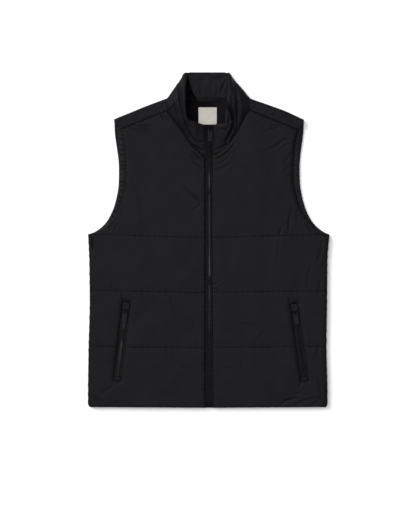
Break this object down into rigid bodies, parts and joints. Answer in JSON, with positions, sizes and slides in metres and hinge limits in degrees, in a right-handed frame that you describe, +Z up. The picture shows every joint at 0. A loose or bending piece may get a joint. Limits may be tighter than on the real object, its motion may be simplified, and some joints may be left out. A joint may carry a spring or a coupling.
{
  "type": "puffer vest",
  "caption": "Padded sleeveless vest with stand collar, full front zip and slanted zip pockets, lying flat front up.",
  "frame": {"origin": "on the surface the vest lies on, under the middle of its outline", "axes": "+X to the wearer's left, +Y from hem to collar, +Z up, out of the front"},
  "size_m": [0.5497, 0.7625, 0.0279],
  "materials": {
    "shell": "matte black woven nylon over light padding",
    "facing": "matte black nylon, gathered",
    "lining": "matte black lining cloth",
    "label": "off-white woven label, bare",
    "zip_tape": "matte black woven tape",
    "zip_coil": "dark grey nylon coil, semi-gloss",
    "hardware": "dark grey enamelled zip metal, semi-matte"
  },
  "bodies": {
    "vest": {"back": "shell", "front_right": "shell", "front_left": "shell", "collar": "shell", "armhole_facing_right": "facing", "armhole_facing_left": "facing", "neck_lining": "lining", "neck_label": "label", "hang_loop": "lining", "zip_tape_right": "zip_tape", "zip_tape_left": "zip_tape", "zip_chain": "zip_coil", "zip_box": "hardware", "zip_slider": "hardware", "pocket_garage_top_right": "shell", "pocket_garage_base_right": "shell", "pocket_tape_right": "zip_tape", "pocket_chain_right": "zip_coil", "pocket_slider_right": "hardware", "pocket_garage_top_left": "shell", "pocket_garage_base_left": "shell", "pocket_tape_left": "zip_tape", "pocket_chain_left": "zip_coil", "pocket_slider_left": "hardware"},
    "front_pull": {"zip_pull": "hardware"},
    "right_pull": {"pocket_pull_right": "hardware"},
    "left_pull": {"pocket_pull_left": "hardware"}
  },
  "joints": [
    {"name": "front_pull_turn", "type": "hinge", "parent": "vest", "child": "front_pull", "pos_m": [0.00276, 0.24959, 0.01898], "axis": [-1, 0, 0], "range_deg": [0, 160]},
    {"name": "right_pull_turn", "type": "hinge", "parent": "vest", "child": "right_pull", "pos_m": [-0.1898, -0.16255, 0.01495], "axis": [-0.9931, 0.1172, 0], "range_deg": [0, 140]},
    {"name": "left_pull_turn", "type": "hinge", "parent": "vest", "child": "left_pull", "pos_m": [0.19758, -0.16598, 0.01495], "axis": [-0.9903, -0.1387, 0], "range_deg": [0, 140]}
  ]
}
